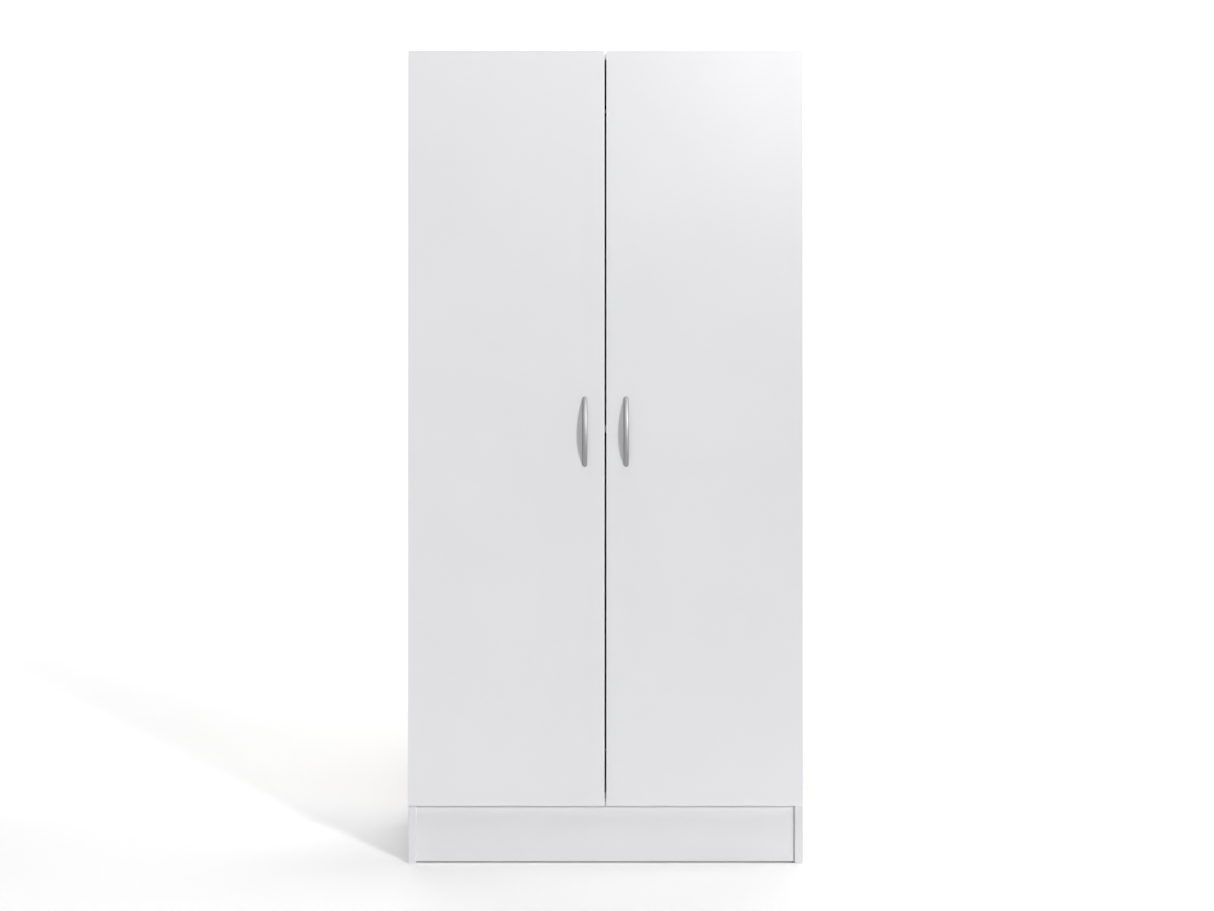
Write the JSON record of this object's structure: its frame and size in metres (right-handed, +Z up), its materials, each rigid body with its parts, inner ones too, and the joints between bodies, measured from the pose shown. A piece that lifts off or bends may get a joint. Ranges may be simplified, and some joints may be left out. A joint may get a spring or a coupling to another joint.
{
  "type": "wardrobe with doors",
  "caption": "Tall white flat-pack wardrobe with hinged overlay doors, satin bow handles, a recessed plinth, a middle shelf and a hanging rail.",
  "frame": {"origin": "on the floor, under the middle of the overall width and depth (handles included)", "axes": "+Z up; the doors face -Y; +X is to the right when facing the doors"},
  "size_m": [0.9, 0.5214, 1.85],
  "materials": {
    "white_melamine": "white melamine on chipboard, silk",
    "white_edging": "white edging strip, silk",
    "white_plastic": "white moulded plastic",
    "hardboard": "raw hardboard",
    "hinge_steel": "nickel plated steel",
    "zinc_steel": "zinc plated steel",
    "satin_nickel": "satin nickel",
    "chrome_plate": "polished chrome",
    "beech": "plain beech",
    "clear_buffer": "soft clear plastic"
  },
  "bodies": {
    "carcass": {"side_panel_left": "white_melamine", "side_panel_right": "white_melamine", "side_edging_left": "white_edging", "side_edging_right": "white_edging", "top_panel": "white_melamine", "top_edging": "white_edging", "bottom_panel": "white_melamine", "bottom_edging": "white_edging", "mid_shelf": "white_melamine", "shelf_edging": "white_edging", "plinth_board": "white_melamine", "back_panel_left": "hardboard", "back_panel_right": "hardboard", "back_joiner": "white_plastic", "back_nails": "zinc_steel", "cam_locks": "zinc_steel", "cam_bolts": "zinc_steel", "dowels": "beech", "cam_caps": "white_plastic", "hanging_rail": "chrome_plate", "rail_socket_left": "chrome_plate", "rail_socket_right": "chrome_plate", "rail_screws": "zinc_steel", "wall_bracket_left": "zinc_steel", "wall_bracket_right": "zinc_steel", "bracket_screws": "zinc_steel", "hinge_plates_left": "hinge_steel", "hinge_plates_right": "hinge_steel", "plate_screws": "hinge_steel", "hinge_arms_left": "hinge_steel", "hinge_arms_right": "hinge_steel", "arm_screws": "hinge_steel"},
    "door_left_body": {"door_panel_left": "white_melamine", "door_edging_left": "white_edging", "handle_left": "satin_nickel", "handle_screws_left": "zinc_steel", "hinge_cups_left": "hinge_steel", "cup_screws_left": "zinc_steel", "hinge_pins_left": "hinge_steel", "door_bumpers_left": "clear_buffer"},
    "door_right_body": {"door_panel_right": "white_melamine", "door_edging_right": "white_edging", "handle_right": "satin_nickel", "handle_screws_right": "zinc_steel", "hinge_cups_right": "hinge_steel", "cup_screws_right": "zinc_steel", "hinge_pins_right": "hinge_steel", "door_bumpers_right": "clear_buffer"}
  },
  "joints": [
    {"name": "door_left_hinge", "type": "hinge", "parent": "carcass", "child": "door_left_body", "pos_m": [-0.441, -0.23025, 0.992], "axis": [0, 0, -1], "range_deg": [0, 95]},
    {"name": "door_right_hinge", "type": "hinge", "parent": "carcass", "child": "door_right_body", "pos_m": [0.441, -0.23025, 0.992], "axis": [0, 0, 1], "range_deg": [0, 95]}
  ]
}
